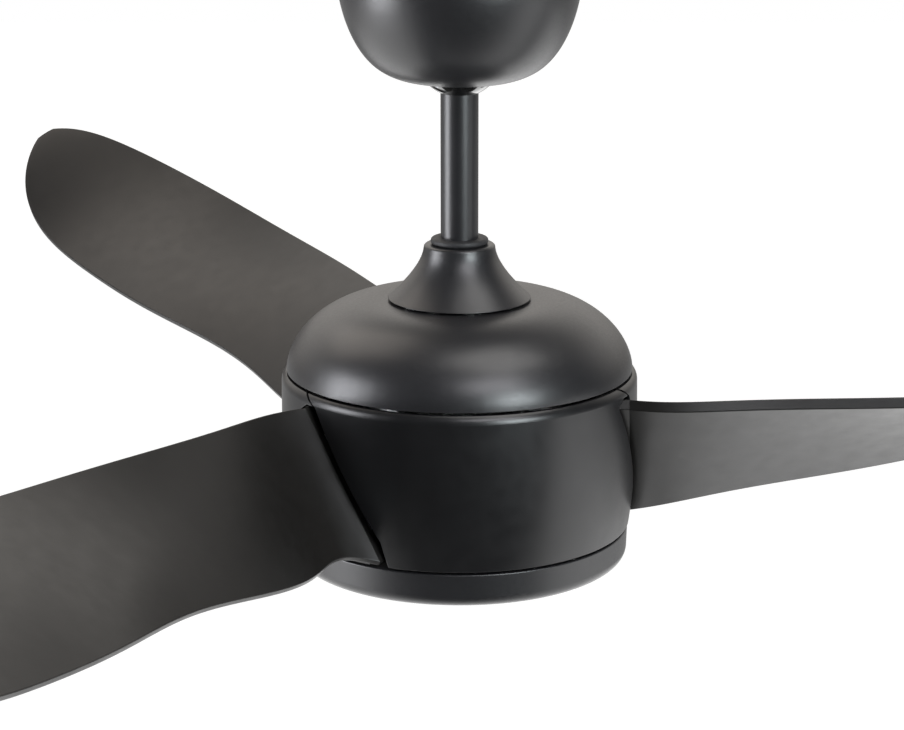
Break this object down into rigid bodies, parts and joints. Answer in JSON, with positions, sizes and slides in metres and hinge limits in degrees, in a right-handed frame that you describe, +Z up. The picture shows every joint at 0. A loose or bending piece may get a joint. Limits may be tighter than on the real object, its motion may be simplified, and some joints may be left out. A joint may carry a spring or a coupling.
{
  "type": "ceiling fan",
  "caption": "Ceiling fan with twisted swept blades, a short downrod, a bowl canopy, a barrel motor housing and a shallow round light underneath.",
  "frame": {"origin": "centre of the ceiling bracket's screw pattern, in the plane of the ceiling, on the fan's vertical axis", "axes": "+Z up into the ceiling, +X along the line of the bracket's two ceiling screws, -Y towards the viewer"},
  "size_m": [1.0529, 1.1651, 0.4066],
  "materials": {
    "black_metal": "satin black powder coat",
    "black_panel": "satin black moulding",
    "black_blade": "matt black moulding",
    "gloss_black": "gloss black",
    "rubber": "matt",
    "zinc_steel": "zinc plated",
    "aluminium": "die cast",
    "lamination": "stacked sheet",
    "copper": "enamelled wire",
    "magnet": "sintered",
    "opal": "opal",
    "board": "white solder mask",
    "led": "phosphor",
    "driver_case": "moulded",
    "terminal": "moulded"
  },
  "bodies": {
    "ceiling_mount": {"canopy": "black_metal", "canopy_screws": "zinc_steel", "hanger_bracket": "zinc_steel", "terminal_block": "terminal"},
    "motor_unit": {"ball_pin": "zinc_steel", "bearing_balls": "zinc_steel", "bearing_inner_races": "zinc_steel", "board_screws": "zinc_steel", "cotter_pin": "zinc_steel", "coupling_cover": "black_metal", "coupling_pin": "zinc_steel", "coupling_screws": "zinc_steel", "diffuser": "opal", "downrod": "black_metal", "hanger_ball": "gloss_black", "housing_adapter": "zinc_steel", "housing_screws": "zinc_steel", "led_board": "board", "led_chips": "led", "led_driver": "driver_case", "light_plate": "aluminium", "light_ring": "black_metal", "motor_shaft": "zinc_steel", "receiver_box": "driver_case", "ring_screws": "zinc_steel", "rod_collar": "rubber", "rod_coupling": "zinc_steel", "set_screws": "zinc_steel", "shaft_nut": "zinc_steel", "shaft_spacers": "zinc_steel", "stator_core": "lamination", "stator_windings": "copper", "upper_housing": "black_metal"},
    "rotor": {"arm_screws": "zinc_steel", "bearing_outer_races": "zinc_steel", "blade_1": "black_blade", "blade_2": "black_blade", "blade_3": "black_blade", "blade_bracket_1": "aluminium", "blade_bracket_2": "aluminium", "blade_bracket_3": "aluminium", "blade_flange": "aluminium", "blade_screws": "zinc_steel", "bracket_screws": "zinc_steel", "flange_screws": "zinc_steel", "panel_arms": "zinc_steel", "panel_screws": "zinc_steel", "rotor_cover": "aluminium", "rotor_magnets": "magnet", "rotor_shell": "aluminium", "side_panel_1": "black_panel", "side_panel_2": "black_panel", "side_panel_3": "black_panel"}
  },
  "joints": [
    {"name": "hang_swing", "type": "hinge", "parent": "ceiling_mount", "child": "motor_unit", "pos_m": [0, 0, -0.0463], "axis": [1, 0, 0], "range_deg": [-15, 15]},
    {"name": "blade_spin", "type": "hinge", "parent": "motor_unit", "child": "rotor", "pos_m": [0, 0, -0.309], "axis": [0, 0, 1], "continuous": true}
  ]
}
